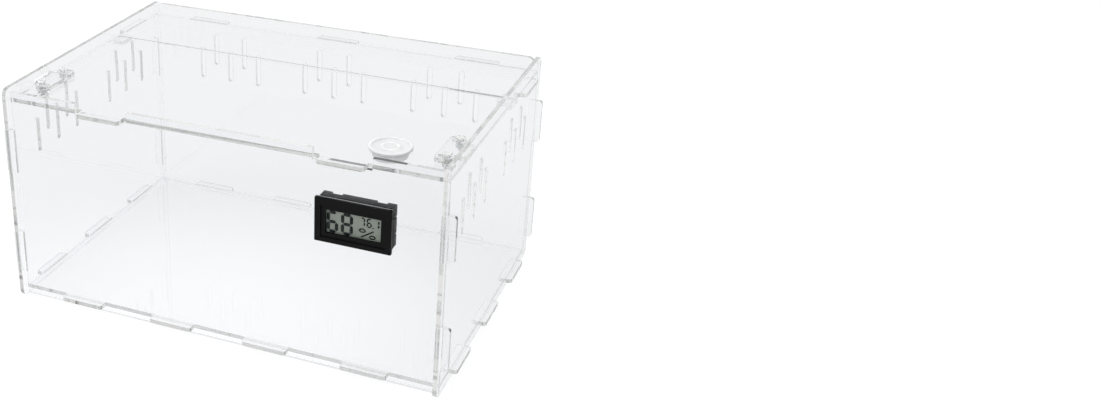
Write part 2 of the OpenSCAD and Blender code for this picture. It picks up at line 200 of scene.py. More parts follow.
def soften(shape, softness, sharp=50):
    """Rounds the edges where the surface turns by more than the angle, in degrees."""
    rims = [edge for edge in shape.edges if edge.calc_face_angle(0) > math.radians(sharp)]
    bmesh.ops.bevel(shape, geom=rims, affect="EDGES", offset=softness, segments=2, profile=0.5,
                    material=-1, clamp_overlap=True)


NODE_WELD, NODE_FLAT = 0.002 * mm, math.radians(1)


def softened(node, creep, softness):
    """The node's shape with soft edges, a hair smaller: air stays between pieces that touch."""
    shape = bmesh.new()
    shape.from_mesh(nodes[node].data)
    bmesh.ops.remove_doubles(shape, verts=shape.verts, dist=NODE_WELD)
    bmesh.ops.dissolve_limit(shape, angle_limit=NODE_FLAT, verts=shape.verts, edges=shape.edges)
    for corner in shape.verts:
        corner.co -= corner.normal * creep
    soften(shape, softness)
    return shape


SHEET_GAP, RIM_SOFTNESS = 0.03 * mm, 0.15 * mm


def cut_sheet(name, node, finish, body="case"):
    new_piece(name, softened(node, SHEET_GAP, RIM_SOFTNESS), finish, body, "clear_acrylic", node)


ACROSS_SHEET = {"x": (1, 0, 0), "y": (0, 1, 0), "z": (0, 0, 1)}
SHEET_IOR, SHEET_LIGHT = 1.49, (0.95, 0.96, 0.965, 1)
FACE_TINTS = ((0.962, 0.970, 0.980, 1), (0.974, 0.980, 0.988, 1))
CUT_TINTS = ((0.77, 0.775, 0.762, 1), (0.95, 0.954, 0.942, 1))
# Greyer cut tints for the left side and the floor; on the floor they are painted shade from the
# table close below.
GREYER_CUT_TINTS = ((0.64, 0.645, 0.635, 1), (0.80, 0.805, 0.795, 1))
# Paler tints painted on the cut edges of vents and openings, as painted light.
VENT_PAINTED_LIGHT_TINTS = ((0.96, 0.962, 0.96, 1), (1.0, 1.0, 1.0, 1))
VENT_ROOM, VENT_MIDDLE, VENT_REACH = {"x": 90 * mm, "y": 140 * mm}, 75 * mm, 65 * mm
# Dark tints painted on the upper rims of lid and strip where they meet, as painted shade in the
# seam.
SEAM_PAINTED_SHADE_TINTS = ((0.36, 0.36, 0.36, 1), (0.44, 0.44, 0.44, 1))
SEAM_Y, SEAM_HALF, SEAM_LOW = 36.9 * mm, 0.9 * mm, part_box("lid")[1][2] - 0.45 * mm
CUT_FACING, STROKE_SHARE = 0.9, 0.05
FACE_RUB, CUT_RUB, STROKE_RUB = 0.012, 0.05, 0.04


def special_cut(flow, place, axis):
    """1 on a wall's vents and openings, or where the upper rims of lid and strip meet."""
    east, north, up = flow.apart(place)
    if axis == "z":
        return (abs(north - SEAM_Y) < SEAM_HALF) * (up > SEAM_LOW)
    along_wall = {"x": north, "y": east}[axis]
    return (abs(along_wall) < VENT_ROOM[axis]) * (abs(up - VENT_MIDDLE) < VENT_REACH)


def acrylic_sheet(name, axis, cut_tints=CUT_TINTS, special_tints=VENT_PAINTED_LIGHT_TINTS, frost=0.0,
                  bending=SHEET_IOR):
    """Clear sheet across the axis. Special cuts have a tint and a frost of their own."""
    finish, flow, place = new_finish(name)
    across = ACROSS_SHEET[axis]
    cut = flow.facing(across) < CUT_FACING
    special = special_cut(flow, place, axis)
    along = flow.stretched(place, tuple(STROKE_SHARE if part else 1.0 for part in across))
    haze = flow.noise(place, scale=9, detail=3)
    patches = flow.noise(along, scale=90, detail=4, roughness=0.7)
    strokes = flow.noise(along, scale=2600)
    rub = flow.noise(place, scale=160, detail=4, roughness=0.6)
    # Special cuts take painted tints: paler in vents and openings as painted light, dark at the
    # seam of lid and strip as painted shade.
    cut_tint = flow.mix(special, flow.mix(patches, *cut_tints), flow.mix(patches, *special_tints))
    tint = flow.mix(cut, flow.mix(haze, *FACE_TINTS), cut_tint)
    polish = rub * FACE_RUB + cut * (CUT_RUB + strokes * STROKE_RUB + special * frost)
    put_out_lit(flow, flow.skin(tint, polish, {
        "IOR": bending, "Transmission Weight": 1.0,
        "Normal": flow.relief(0.04, 0.1 * mm, cut * strokes)}), SHEET_LIGHT)
    return finish


left_acrylic = acrylic_sheet("acrylic_of_left_side", "x", GREYER_CUT_TINTS, GREYER_CUT_TINTS)
right_acrylic = acrylic_sheet("acrylic_of_right_side", "x")
front_acrylic = acrylic_sheet("acrylic_of_front", "y")
back_acrylic = acrylic_sheet("acrylic_of_back", "y", frost=0.25)
# The floor's greyer cut edges are painted shade from the table below.
floor_acrylic = acrylic_sheet("acrylic_of_floor", "z", GREYER_CUT_TINTS)
cut_sheet("clear_left_side", "left_side_panel", left_acrylic)
cut_sheet("clear_right_side", "right_side_panel", right_acrylic)
cut_sheet("clear_front", "front_panel", front_acrylic)
cut_sheet("clear_back", "back_panel", back_acrylic)
cut_sheet("clear_floor", "floor_panel", floor_acrylic)


# Fixed strip of the top and the two small ledges under its front edge, of the same sheet. The
# strip's tabs sit in the back and the sides, and the ledges, glued to the sides, carry the rear
# corners of the lid. Strip and lid have dull upper rims where they meet, painted darker as the
# shade in the seam between them.
flat_acrylic = acrylic_sheet("acrylic_of_flats", "z", special_tints=SEAM_PAINTED_SHADE_TINTS, frost=0.3)
cut_sheet("clear_top_strip", "rear_top_strip", flat_acrylic)
cut_sheet("clear_left_ledge", "left_lid_ledge", flat_acrylic)
cut_sheet("clear_right_ledge", "right_lid_ledge", flat_acrylic)


# Case of the humidity meter: bezel, box and the frame round its window, moulded in one piece of
# black ABS and pushed through the front panel until the bezel stops it. The bezel is dull
# polished, the box behind it rougher, as it comes from the mould, and painted a lighter grey as
# a painted sheen of light on it.
MOULDED_GAP, MOULDED_SOFTNESS = 0.02 * mm, 0.12 * mm
BEZEL_BACK = -94.9 * mm
BEZEL_BLACKS = ((0.003, 0.003, 0.0035, 1), (0.006, 0.006, 0.0065, 1))
BOX_PAINTED_SHEEN_GREYS = ((0.011, 0.011, 0.012, 1), (0.023, 0.023, 0.0245, 1))

black_abs, flow, place = new_finish("black_abs")
# The box behind the bezel: rougher from the mould, and painted lighter grey as a painted sheen.
behind = flow.apart(place)[1] > BEZEL_BACK
grain = flow.noise(place, scale=2600, detail=3, roughness=0.6)
cloud = flow.noise(place, scale=110, detail=4, roughness=0.6)
flow_marks = flow.noise(flow.stretched(place, (0.15, 1, 1)), scale=900)
put_out(flow, flow.skin(
    flow.mix(behind, flow.mix(cloud, *BEZEL_BLACKS), flow.mix(cloud, *BOX_PAINTED_SHEEN_GREYS)),
    0.3 + grain * 0.14 + behind * 0.16, {
        "Specular IOR Level": 0.1,
        "Normal": flow.relief(0.25, 0.04 * mm, grain + 0.4 * flow_marks)}))
new_piece("meter_case", softened("meter_shell", MOULDED_GAP, MOULDED_SOFTNESS), black_abs,
          "hygrometer", "black_plastic", "meter_shell")


# Window of the meter: a thin clear plate behind the bezel, which keeps dust off the display. It
# is coated against reflections, and its back stands a little off the display's glass.
WINDOW_MIDDLE, WINDOW_THINNED, WINDOW_SOFTNESS = -94.65 * mm, 0.18 * mm, 0.05 * mm
COATED_IOR = 1.15

shape = softened("meter_window", MOULDED_GAP, WINDOW_SOFTNESS)
for corner in shape.verts:
    if corner.co.y > WINDOW_MIDDLE:
        corner.co.y -= WINDOW_THINNED
new_piece("meter_front_window", shape, acrylic_sheet("coated_window", "y", bending=COATED_IOR),
          "hygrometer", "display_window", "meter_window")


# Display of the meter: two glass plates with liquid crystal between them and a grey green
# reflector behind. The plates end in a ledge below, where the rubber strip touches them.
METER_X, METER_Z = 90.2 * mm, 102.8 * mm
# Reflector tints, mixed by its grain and by painted light and shade, paler towards the top.
REFLECTOR_GRAIN_AND_LIGHT_TINTS = ((0.19, 0.215, 0.18, 1), (0.31, 0.345, 0.29, 1))
PAINTED_SHADE_LOW, PAINTED_LIGHT_TOP = METER_Z - 9 * mm, METER_Z + 7 * mm
PLATE_RIM_TINT, PLATE_RIM_FACING = (0.3, 0.38, 0.34, 1), 0.5


def wear(finish, node):
    """Gives a CAD node this finish and no other."""
    worn = nodes[node].data.materials
    worn.clear()
    worn.append(finish)


finish, flow, place = new_finish("grey_green_display")
sparkle = flow.noise(place, scale=5200)
# Painted light and shade: the reflector paler towards its top, darker low down by the bezel.
painted_light_above = flow.rise(flow.apart(place)[2], PAINTED_SHADE_LOW, PAINTED_LIGHT_TOP)
reflector = flow.mix(painted_light_above * 0.7 + sparkle * 0.3, *REFLECTOR_GRAIN_AND_LIGHT_TINTS)
plate_rim = flow.facing((0, 1, 0)) < PLATE_RIM_FACING
put_out(flow, flow.skin(flow.mix(plate_rim, reflector, PLATE_RIM_TINT), 0.25 + sparkle * 0.15, {
    "Specular IOR Level": 0.4, "Normal": flow.relief(0.05, 0.02 * mm, sparkle)}))
wear(finish, "meter_lcd")


# Numerals of the display: the dark segments that show humidity in large digits, with its
# percent sign, and temperature in small ones. They lie on the display's front glass.
INK_BACK, INK_FRONT = -94.31 * mm, -94.36 * mm
WINDOW_LEFT, WINDOW_TOP = METER_X - 17.2 * mm, METER_Z + 6.7 * mm
BARS_LIT = {"6": "acdefg", "8": "abcdefg", "7": "abc", "1": "bc"}
BAR_GAP = 0.2
# Left, top, width, height and bar thickness of each digit, in mm from the window's corner
DIGITS = (("6", 0.05, 0.8, 7.3, 14.4, 2.1), ("8", 9.0, 0.8, 7.6, 14.4, 2.1),
          ("7", 21.1, 1.3, 2.9, 6.0, 0.95), ("6", 24.9, 1.3, 3.3, 6.0, 0.95),
          ("1", 29.9, 1.3, 3.0, 6.0, 1.1))
# Middle, length, thickness and turn of the decimal point and of the percent sign's stroke
SINGLE_BARS = ((29.0, 7.0, 1.1, 0.9, 0.0), (25.6, 11.7, 9.6, 0.95, math.radians(33)))
# Middle, width, height and thickness of the percent sign's rings
PERCENT_RINGS = ((22.4, 9.9, 4.4, 2.9, 0.9), (28.7, 13.2, 4.2, 2.8, 0.9))


def add_bar(shape, x, z, length, thick, turn):
    """Six cornered bar, its middle right of and below the window's upper left corner, in mm."""
    half, tip = length / 2, thick / 2
    outline = [(-half, 0), (tip - half, -tip), (half - tip, -tip),
               (half, 0), (half - tip, tip), (tip - half, tip)]
    corners = [shape.verts.new((u * mm, INK_FRONT, v * mm)) for u, v in outline]
    shape.faces.new(corners)
    bmesh.ops.rotate(shape, verts=corners, matrix=Matrix.Rotation(-turn, 3, "Y"))
    bmesh.ops.translate(shape, verts=corners, vec=(WINDOW_LEFT + x * mm, 0, WINDOW_TOP - z * mm))


def add_digit(shape, digit, left, top, wide, high, thick):
    x_left, x_right = left + thick / 2, left + wide - thick / 2
    z_top, z_low = top + thick / 2, top + high - thick / 2
    z_middle, x_middle = (z_top + z_low) / 2, (x_left + x_right) / 2
    gap = BAR_GAP * thick
    across, down = x_right - x_left - gap, z_middle - z_top - gap
    bars = {"a": (x_middle, z_top, 0), "g": (x_middle, z_middle, 0), "d": (x_middle, z_low, 0),
            "f": (x_left, (z_top + z_middle) / 2, 1), "b": (x_right, (z_top + z_middle) / 2, 1),
            "e": (x_left, (z_low + z_middle) / 2, 1), "c": (x_right, (z_low + z_middle) / 2, 1)}
    for bar in BARS_LIT[digit]:
        x, z, upright = bars[bar]
        add_bar(shape, x, z, down if upright else across, thick, math.pi / 2 * upright)


def add_ring(shape, x, z, wide, high, line):
    """Flat oval ring of the percent sign."""
    rings = []
    for shrink in (0, line):
        rim = bmesh.ops.create_circle(shape, cap_ends=False, segments=24, radius=0.5)["verts"]
        bmesh.ops.rotate(shape, verts=rim, matrix=Matrix.Rotation(math.pi / 2, 3, "X"))
        bmesh.ops.scale(shape, verts=rim,
                        vec=((wide - 2 * shrink) * mm, 1, (high - 2 * shrink) * mm))
        bmesh.ops.translate(shape, verts=rim,
                            vec=(WINDOW_LEFT + x * mm, INK_FRONT, WINDOW_TOP - z * mm))
        rings += list({edge for corner in rim for edge in corner.link_edges})
    bmesh.ops.bridge_loops(shape, edges=rings)


shape = bmesh.new()
for digit in DIGITS:
    add_digit(shape, *digit)
for bar in SINGLE_BARS:
    add_bar(shape, *bar)
for ring in PERCENT_RINGS:
    add_ring(shape, *ring)
bmesh.ops.recalc_face_normals(shape, faces=shape.faces)
thick_ink = bmesh.ops.extrude_face_region(shape, geom=list(shape.faces))["geom"]
bmesh.ops.translate(
    shape, verts=[part for part in thick_ink if isinstance(part, bmesh.types.BMVert)],
    vec=(0, INK_BACK - INK_FRONT, 0))
bmesh.ops.recalc_face_normals(shape, faces=shape.faces)

finish, flow, place = new_finish("display_ink")
mottle = flow.noise(place, scale=1800, detail=3)
put_out(flow, flow.skin(flow.mix(mottle, (0.008, 0.010, 0.010, 1), (0.018, 0.022, 0.021, 1)),
                        0.35 + mottle * 0.2, {"Specular IOR Level": 0.05}))
new_piece("display_numerals", shape, finish, "hygrometer", "display_glass")


# Rubber strip between the display's ledge and the board. Thin carbon layers in the silicone
# carry the current, so it looks striped across.
RUBBER_PINK, CARBON_BLACK = (0.52, 0.26, 0.3, 1), (0.03, 0.03, 0.032, 1)

finish, flow, place = new_finish("striped_rubber")
stripes = flow.bands(place, "X", scale=900, distortion=0.4, detail=1)
layers = flow.node("ValToRGB", {"stops": [(0.35, RUBBER_PINK), (0.6, CARBON_BLACK)]},
                   {0: stripes})
put_out(flow, flow.skin(layers, 0.5 + stripes * 0.2, {
    "Normal": flow.relief(0.2, 0.04 * mm, stripes)}))
wear(finish, "lcd_connector")


# Circuit board: glass fibre with copper tracks under green lacquer, its corners rounded, and
# tinned lands along its lower edge for the rubber strip. Small parts sit on its front.
BOARD_CORNER, BOARD_SOFTNESS = 1.2 * mm, 0.06 * mm
LANDS_TOP, LANDS_LOW = METER_Z - 8.7 * mm, METER_Z - 10.9 * mm
LACQUER_GREENS = ((0.010, 0.085, 0.036, 1), (0.024, 0.155, 0.065, 1))
TIN_GREYS = ((0.62, 0.61, 0.57, 1), (0.78, 0.77, 0.73, 1))
TRACK_LEVEL, LAND_LEVEL = 0.62, 0.45


def block_between(low, high):
    low, high = Vector(low), Vector(high)
    block = bmesh.new()
    bmesh.ops.create_cube(block, size=1)
    bmesh.ops.scale(block, verts=block.verts, vec=high - low)
    bmesh.ops.translate(block, verts=block.verts, vec=(low + high) / 2)
    return block


finish, flow, place = new_finish("green_board")
up = flow.apart(place)[2]
areas = flow.node("TexVoronoi", {"distance": "CHEBYCHEV"}, {
    "Vector": flow.stretched(place, (1, 0.001, 1)), "Scale": 330, "Randomness": 0.8}, "Color")
level = flow.apart(areas)[0] > 0.5
along, upward = [flow.bands(place, way, scale=380) > TRACK_LEVEL for way in ("Z", "X")]
tracks = level * along + (1 - level) * upward
weave = flow.bands(place, "Z", scale=1500, distortion=1.5)
comb = flow.bands(place, "X", scale=210) > LAND_LEVEL
lands = comb * (up < LANDS_TOP) * (up > LANDS_LOW)
lacquer = flow.mix(tracks, *LACQUER_GREENS)
tin = flow.mix(flow.noise(place, scale=900), *TIN_GREYS)
put_out(flow, flow.skin(flow.mix(lands, lacquer, tin), 0.32 + weave * 0.12, {
    "Metallic": lands,
    "Normal": flow.relief(0.3, 0.05 * mm, tracks + 0.15 * weave + 0.5 * lands)}))

board_low, board_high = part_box("meter_board")
margin = Vector((1, 1, 1)) * MOULDED_GAP
shape = block_between(Vector(board_low) + margin, Vector(board_high) - margin)
corner_edges = [edge for edge in shape.edges
                if abs((edge.verts[0].co - edge.verts[1].co).y) > 0.5 * mm]
bmesh.ops.bevel(shape, geom=corner_edges, affect="EDGES", offset=BOARD_CORNER, segments=6,
                profile=0.5, material=-1)
soften(shape, BOARD_SOFTNESS)
new_piece("green_circuit_board", shape, finish, "hygrometer", "circuit_board", "meter_board")


# Small parts of the board: resistors, capacitors and a resonator of dark ceramic, each soldered
# by the tinned cap at either end.
BOARD_FRONT, PART_SOFTNESS = -91.2 * mm, 0.05 * mm
CAP_LENGTH, CAP_PROUD = 0.38, 0.03
# How far each stands right of and above the meter's middle, its length, height and depth, in mm
SMALL_PARTS = ((-1.0, 5.5, 1.6, 0.8, 0.45), (-1.0, 3.7, 1.6, 0.8, 0.45),
               (2.6, 5.2, 2.0, 1.25, 0.9), (6.8, 5.0, 3.2, 1.6, 0.8),
               (11.6, 5.4, 1.6, 0.8, 0.45), (11.6, 3.6, 1.6, 0.8, 0.45),
               (-17.0, 6.0, 2.0, 1.25, 0.9), (-17.0, -1.0, 1.6, 0.8, 0.45),
               (1.4, -3.5, 2.0, 1.25, 0.9))


def add_into(whole, part):
    carrier = bpy.data.meshes.new("carrier")
    part.to_mesh(carrier)
    part.free()
    whole.from_mesh(carrier)
    bpy.data.meshes.remove(carrier)


def soft_part(x, z, long, high, deep):
    """Block on the board's front, its middle right of and above the meter's middle, in mm."""
    middle = Vector((METER_X + x * mm, BOARD_FRONT - deep / 2 * mm, METER_Z + z * mm))
    reach = Vector((long, deep, high)) * mm / 2
    block = block_between(middle - reach, middle + reach)
    soften(block, PART_SOFTNESS)
    return block


ceramic_bodies, tin_caps = bmesh.new(), bmesh.new()
for x, z, long, high, deep in SMALL_PARTS:
    add_into(ceramic_bodies, soft_part(x, z, long - CAP_LENGTH, high, deep))
    for side in (-1, 1):
        cap_x = x + side * (long - CAP_LENGTH) / 2
        add_into(tin_caps, soft_part(cap_x, z, CAP_LENGTH, high + CAP_PROUD, deep + CAP_PROUD))

finish, flow, place = new_finish("dark_ceramic")
specks = flow.noise(place, scale=5000)
put_out(flow, flow.skin(flow.mix(specks, (0.03, 0.025, 0.02, 1), (0.09, 0.075, 0.06, 1)),
                        0.4 + specks * 0.2, {"Normal": flow.relief(0.15, 0.02 * mm, specks)}))
new_piece("board_part_bodies", ceramic_bodies, finish, "hygrometer", "chip_resin")

finish, flow, place = new_finish("bright_tin")
ripples = flow.noise(place, scale=2600, detail=3)
put_out(flow, flow.skin(
    flow.mix(ripples, (0.66, 0.65, 0.62, 1), (0.80, 0.79, 0.76, 1)), 0.25 + ripples * 0.15, {
        "Metallic": 1.0, "Normal": flow.relief(0.2, 0.03 * mm, ripples)}))
new_piece("board_part_caps", tin_caps, finish, "hygrometer", "contact_steel")


# Controller chip under a drop of black epoxy resin, poured on the board and set with a shiny,
# slightly wavy skin.
finish, flow, place = new_finish("black_resin")
waves = flow.noise(place, scale=420, detail=3)
specks = flow.noise(place, scale=4200)
put_out(flow, flow.skin(
    flow.mix(specks, (0.006, 0.006, 0.007, 1), (0.02, 0.02, 0.021, 1)), 0.12 + waves * 0.16, {
        "Normal": flow.relief(0.25, 0.2 * mm, waves + 0.1 * specks)}))
wear(finish, "controller_chip")


# Humidity sensor: a white slotted cap over the sensing film, and beside it the resin bead that
# measures temperature, both soldered to the back of the board.
BEAD_FROM = METER_X + 16.5 * mm

finish, flow, place = new_finish("off_white_cap")
grain = flow.noise(place, scale=2400, detail=3)
cloud = flow.noise(place, scale=260, detail=3)
bead = flow.apart(place)[0] > BEAD_FROM
cap = flow.mix(cloud, (0.74, 0.74, 0.69, 1), (0.84, 0.84, 0.8, 1))
resin = flow.mix(cloud, (0.018, 0.017, 0.016, 1), (0.05, 0.045, 0.04, 1))
put_out(flow, flow.skin(flow.mix(bead, cap, resin), 0.5 - bead * 0.3 + grain * 0.12, {
    "Normal": flow.relief(0.2, 0.04 * mm, grain)}))
wear(finish, "humidity_sensor")


# Two button cells: steel cans, nickel plated and turned over a dark gasket that holds the
# smaller cap of the other pole. They stand side by side with their caps to the front.
CELL_PITCH, CELL_Z, CELL_BACK = 12.8 * mm, METER_Z - 1 * mm, -84.2 * mm
CELL_PROFILE = [(0, 0.02), (5.2, 0.02), (5.55, 0.12), (5.72, 0.3), (5.78, 0.6), (5.78, 4.3),
                (5.7, 4.6), (5.45, 4.78), (5.1, 4.78), (5.0, 4.6), (4.62, 4.6), (4.58, 5.15),
                (4.45, 5.35), (4.2, 5.38), (0, 5.38)]
GASKET_INSIDE, GASKET_OUTSIDE, GASKET_BLACK = 4.63 * mm, 4.98 * mm, (0.03, 0.03, 0.035, 1)
TURNED_WELD = 0.001 * mm


def turned(shape, profile, foot, along, out, steps=64):
    """Turns a chain of corners, each a radius and a height in mm, about the axis at foot."""
    foot, along, out = Vector(foot), Vector(along), Vector(out)
    chain = [shape.verts.new(foot + (out * radius + along * height) * mm)
             for radius, height in profile]
    links = [shape.edges.new(pair) for pair in zip(chain, chain[1:])]
    bmesh.ops.spin(shape, geom=chain + links, cent=foot, axis=along, angle=math.tau, steps=steps,
                   use_merge=True)
    bmesh.ops.remove_doubles(shape, verts=shape.verts, dist=TURNED_WELD)
    bmesh.ops.recalc_face_normals(shape, faces=shape.faces)


shape = bmesh.new()
for side in (-0.5, 0.5):
    foot = (METER_X + side * CELL_PITCH, CELL_BACK, CELL_Z)
    turned(shape, CELL_PROFILE, foot, along=(0, -1, 0), out=(1, 0, 0))

finish, flow, place = new_finish("nickel_steel")
east, north, up = flow.apart(place)
aside = abs(east - METER_X) - CELL_PITCH / 2
height = up - CELL_Z
radius = flow.maths("SQRT", aside * aside + height * height)
gasket = (radius > GASKET_INSIDE) * (radius < GASKET_OUTSIDE)
rings = flow.noise(flow.node("CombineXYZ", {}, {0: radius, 1: north}), scale=9000)
scuffs = flow.noise(place, scale=500, detail=4, roughness=0.7)
steel = flow.mix(scuffs, (0.60, 0.60, 0.60, 1), (0.74, 0.74, 0.73, 1))
put_out(flow, flow.skin(
    flow.mix(gasket, steel, GASKET_BLACK), 0.2 + rings * 0.14 + scuffs * 0.1, {
        "Metallic": 1 - gasket, "Normal": flow.relief(0.15, 0.02 * mm, rings)}))
new_piece("button_cell_pair", shape, finish, "hygrometer", "cell_steel", "button_cells")


# Contacts of the cells: a bridge over their backs and a tongue under each cap, stamped from
# thin nickel plated spring steel, with the rolling lines of the strip.
finish, flow, place = new_finish("rolled_spring_steel")
rolled = flow.noise(flow.stretched(place, (0.05, 1, 1)), scale=3200, detail=3)
stains = flow.noise(place, scale=380, detail=4, roughness=0.65)
put_out(flow, flow.skin(flow.mix(stains, (0.58, 0.55, 0.47, 1), (0.74, 0.71, 0.63, 1)),
                        0.22 + rolled * 0.16 + stains * 0.08, {
    "Metallic": 1.0, "Normal": flow.relief(0.2, 0.02 * mm, rolled)}))
wear(finish, "battery_contacts")


# Back plate of the meter with the tray for the cells and the rails of their door, and the
# ribbed door, both moulded in the black of the case. The door slides off sideways.
PLATE_SOFTNESS = 0.08 * mm

new_piece("meter_rear_plate", softened("meter_back", MOULDED_GAP, PLATE_SOFTNESS), black_abs,
          "hygrometer", "black_plastic", "meter_back")
new_piece("ribbed_battery_door", softened("battery_door", MOULDED_GAP, PLATE_SOFTNESS),
          black_abs, "battery_door", "black_plastic", "battery_door")


# Lid: one clear sheet with two tabs in front, which lie in notches of the front panel, a round
# port for feeding, and holes for the screws of its bolts.
cut_sheet("clear_lid", "lid", flat_acrylic, "lid")


# Bolts of the lid: small clear plates that slide sideways on their screws, until their tongues
# stand in the long slots of the side panels.
cut_sheet("clear_left_bolt", "left_lid_bolt", flat_acrylic, "left_bolt")
cut_sheet("clear_right_bolt", "right_lid_bolt", flat_acrylic, "right_bolt")


# Screws of the bolts: M3 in clear white nylon, with round heads and a straight slot for the
# driver, each through its bolt and the lid.
SCREW_X, SCREWS_Y, SCREW_PITCH, HEAD_UNDER = 136.8 * mm, -58.2 * mm, 25 * mm, 144.95 * mm
SIDES = (("left", -1), ("right", 1))
HEAD_PROFILE = [(0, 0), (2.8, 0), (2.8, 1.5), (2.76, 1.75), (2.62, 1.95), (2.4, 2.08),
                (1.9, 2.16), (1.2, 2.19), (0, 2.2)]
SLOT_HALF, SLOT_BOTTOM = 0.45 * mm, 1.2 * mm
THREAD_FOOT, THREAD_TURNS, THREAD_PITCH, THREAD_STEPS = -11.2, 25, 0.5, 32
# Radius in mm of the root and of the crest's two edges, and their share of the pitch upwards
THREAD_CHAIN = ((1.2, 0), (1.48, 0.42), (1.48, 0.56))
SHANK_TOP, SHANK_END = 0.3 * mm, -9.95 * mm
ROUND_STEPS, NYLON_SOFTNESS = 48, 0.05 * mm
ON_PLANE, NEAR_PLANE = 1e-8, 1e-7
NYLON_LIGHT = (0.85, 0.86, 0.85, 1)


def all_of(shape):
    return list(shape.verts) + list(shape.edges) + list(shape.faces)


def cut_off(shape, place, outward):
    """Cuts off what lies beyond the plane and closes the cut."""
    cut = bmesh.ops.bisect_plane(shape, geom=all_of(shape), dist=ON_PLANE, plane_co=place,
                                 plane_no=outward, clear_outer=True)["geom_cut"]
    bmesh.ops.holes_fill(
        shape, edges=[part for part in cut if isinstance(part, bmesh.types.BMEdge)], sides=0)


def screw_head(x, y):
    """Turned head, split along the slot's walls and floor, emptied there and closed again."""
    head = bmesh.new()
    turned(head, HEAD_PROFILE, (x, y, HEAD_UNDER), (0, 0, 1), (1, 0, 0), ROUND_STEPS)
    slot_bottom = HEAD_UNDER + SLOT_BOTTOM
    slot_planes = (((x, y + SLOT_HALF, 0), (0, 1, 0)), ((x, y - SLOT_HALF, 0), (0, 1, 0)),
                   ((x, y, slot_bottom), (0, 0, 1)))
    for place, way in slot_planes:
        bmesh.ops.bisect_plane(head, geom=all_of(head), dist=ON_PLANE, plane_co=place,
                               plane_no=way)
    middles = {face: face.calc_center_median() for face in head.faces}
    bmesh.ops.delete(head, context="FACES", geom=[
        face for face, middle in middles.items()
        if abs(middle.y - y) < SLOT_HALF and middle.z > slot_bottom])
    for side in (-1, 1):
        wall_y = y + side * SLOT_HALF
        rim = [edge for edge in head.edges if edge.is_boundary
               and all(abs(corner.co.y - wall_y) < NEAR_PLANE for corner in edge.verts)]
        ends = [corner for corner in {corner for edge in rim for corner in edge.verts}
                if abs(corner.co.z - slot_bottom) < NEAR_PLANE]
        bmesh.ops.contextual_create(head, geom=rim + [head.edges.new(ends)])
    bmesh.ops.contextual_create(head, geom=[edge for edge in head.edges if edge.is_boundary])
    bmesh.ops.recalc_face_normals(head, faces=head.faces)
    soften(head, NYLON_SOFTNESS)
    return head


def screw_shank(x, y):
    """Thread as one chain of crests and roots, turned once while it climbs by its pitch."""
    shank = bmesh.new()
    chain = []
    for turn in range(THREAD_TURNS):
        for radius, climb in THREAD_CHAIN:
            height = THREAD_FOOT + (turn + climb) * THREAD_PITCH
            chain.append(shank.verts.new((x + radius * mm, y, HEAD_UNDER + height * mm)))
    links = [shank.edges.new(pair) for pair in zip(chain, chain[1:])]
    bmesh.ops.spin(shank, geom=chain + links, cent=(x, y, 0), axis=(0, 0, 1), angle=math.tau,
                   steps=THREAD_STEPS, dvec=(0, 0, THREAD_PITCH * mm / THREAD_STEPS))
    bmesh.ops.remove_doubles(shank, verts=shank.verts, dist=TURNED_WELD)
    cut_off(shank, (x, y, HEAD_UNDER + SHANK_TOP), (0, 0, 1))
    cut_off(shank, (x, y, HEAD_UNDER + SHANK_END), (0, 0, -1))
    bmesh.ops.recalc_face_normals(shank, faces=shank.faces)
    return shank


nylon, flow, place = new_finish("clear_white_nylon")
cloud = flow.noise(place, scale=700, detail=3)
grain = flow.noise(place, scale=5200)
put_out_lit(flow, flow.skin(
    flow.mix(cloud, (0.94, 0.945, 0.94, 1), (0.975, 0.978, 0.975, 1)), 0.2 + grain * 0.08, {
        "IOR": 1.2, "Transmission Weight": 0.65,
        "Normal": flow.relief(0.15, 0.03 * mm, grain)}), NYLON_LIGHT)
for name, side in SIDES:
    shape = bmesh.new()
    for step in (-0.5, 0.5):
        for part in (screw_head, screw_shank):
            add_into(shape, part(side * SCREW_X, SCREWS_Y + step * SCREW_PITCH))
    new_piece(name + "_nylon_screws", shape, nylon, "lid", "white_nylon", name + "_bolt_screws")


# Nuts of those screws under the lid: six sided, of the same nylon, with their corners turned
# off on both faces and a countersunk bore.
NUT_LOW, NUT_HALF_FLATS, NUT_SIDES = 136.82 * mm, 2.74 * mm, 6
NUT_PROFILE = [(2.6, 0), (3.16, 0.32), (3.16, 2.04), (2.6, 2.36), (1.78, 2.36), (1.56, 2.14),
               (1.56, 0.22), (1.78, 0), (2.6, 0)]
NUT_WELD, NUT_SHARP = 0.005 * mm, 35

for name, side in SIDES:
    shape = bmesh.new()
    for step in (-0.5, 0.5):
        middle = Vector((side * SCREW_X, SCREWS_Y + step * SCREW_PITCH, NUT_LOW))
        nut = bmesh.new()
        turned(nut, NUT_PROFILE, middle, (0, 0, 1), (1, 0, 0), ROUND_STEPS)
        for flat in range(NUT_SIDES):
            angle = (flat + 0.5) * math.tau / NUT_SIDES
            outward = Vector((math.cos(angle), math.sin(angle), 0))
            cut_off(nut, middle + outward * NUT_HALF_FLATS, outward)
        bmesh.ops.remove_doubles(nut, verts=nut.verts, dist=NUT_WELD)
        bmesh.ops.recalc_face_normals(nut, faces=nut.faces)
        soften(nut, NYLON_SOFTNESS, NUT_SHARP)
        add_into(shape, nut)
    new_piece(name + "_hex_nuts", shape, nylon, "lid", "white_nylon", name + "_bolt_nuts")


